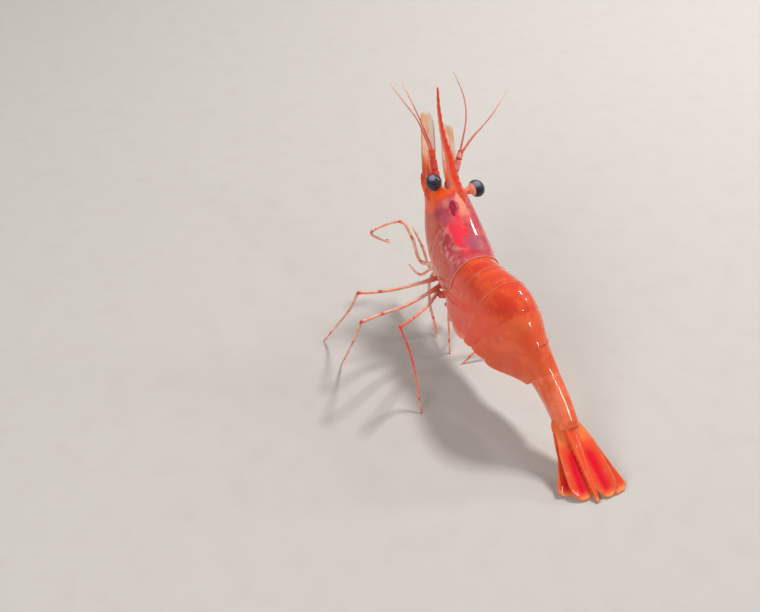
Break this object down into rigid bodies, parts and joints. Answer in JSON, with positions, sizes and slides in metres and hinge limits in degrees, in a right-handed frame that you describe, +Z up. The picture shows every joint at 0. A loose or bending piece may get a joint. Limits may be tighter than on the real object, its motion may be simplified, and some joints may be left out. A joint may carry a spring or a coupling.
{
  "type": "northern shrimp",
  "caption": "Still life-size northern shrimp standing on slender legs and the tips of its tail fan, humped back, upturned beak and stalked black eyes.",
  "frame": {"origin": "middle of the footprint at floor level, under the body", "axes": "+Y toward the head, +X to the animal's right, +Z up"},
  "size_m": [0.0832, 0.1304, 0.0751],
  "materials": {
    "head_shield": "glossy wet shell, translucent dusky red with dark organs showing through",
    "tail_shell": "glossy wet shell, translucent orange-red with pale specks",
    "beak": "glossy shell, deep red along the toothed ridge",
    "eye": "smooth glossy black cornea",
    "eyestalk": "glossy pale orange",
    "antennal_scale": "thin translucent pale orange blade with a darker rim",
    "feeler": "fine ringed red-brown feeler",
    "antenna": "glossy orange-red joints",
    "tail_fan": "glossy crimson blades with orange rims",
    "swimmeret": "soft translucent orange paddle",
    "leg": "glossy red at the joints, paler pink between"
  },
  "bodies": {
    "root": {"abdomen_1": "tail_shell", "abdomen_2": "tail_shell", "abdomen_3": "tail_shell", "abdomen_4": "tail_shell", "abdomen_5": "tail_shell", "abdomen_6": "tail_shell", "antenna_left": "antenna", "antenna_right": "antenna", "antennal_scale_left": "antennal_scale", "antennal_scale_right": "antennal_scale", "antennule_left": "antenna", "antennule_left_inner_feeler": "feeler", "antennule_left_outer_feeler": "feeler", "antennule_right": "antenna", "antennule_right_inner_feeler": "feeler", "antennule_right_outer_feeler": "feeler", "carapace": "head_shield", "eye_left": "eye", "eye_right": "eye", "eyestalk_left": "eyestalk", "eyestalk_right": "eyestalk", "leg_1_left": "leg", "leg_1_right": "leg", "leg_2_left": "leg", "leg_2_right": "leg", "leg_3_left_lower": "leg", "leg_3_left_upper": "leg", "leg_3_right_lower": "leg", "leg_3_right_upper": "leg", "leg_4_left_lower": "leg", "leg_4_left_upper": "leg", "leg_4_right_lower": "leg", "leg_4_right_upper": "leg", "leg_5_left_lower": "leg", "leg_5_left_upper": "leg", "leg_5_right_lower": "leg", "leg_5_right_upper": "leg", "maxilliped_left": "leg", "maxilliped_right": "leg", "mouthparts": "leg", "rostrum": "beak", "swimmeret_1_left": "swimmeret", "swimmeret_1_right": "swimmeret", "swimmeret_2_left": "swimmeret", "swimmeret_2_right": "swimmeret", "swimmeret_3_left": "swimmeret", "swimmeret_3_right": "swimmeret", "swimmeret_4_left": "swimmeret", "swimmeret_4_right": "swimmeret", "swimmeret_5_left": "swimmeret", "swimmeret_5_right": "swimmeret", "telson": "tail_fan", "uropod_left_inner": "tail_fan", "uropod_left_outer": "tail_fan", "uropod_right_inner": "tail_fan", "uropod_right_outer": "tail_fan"}
  },
  "joints": []
}
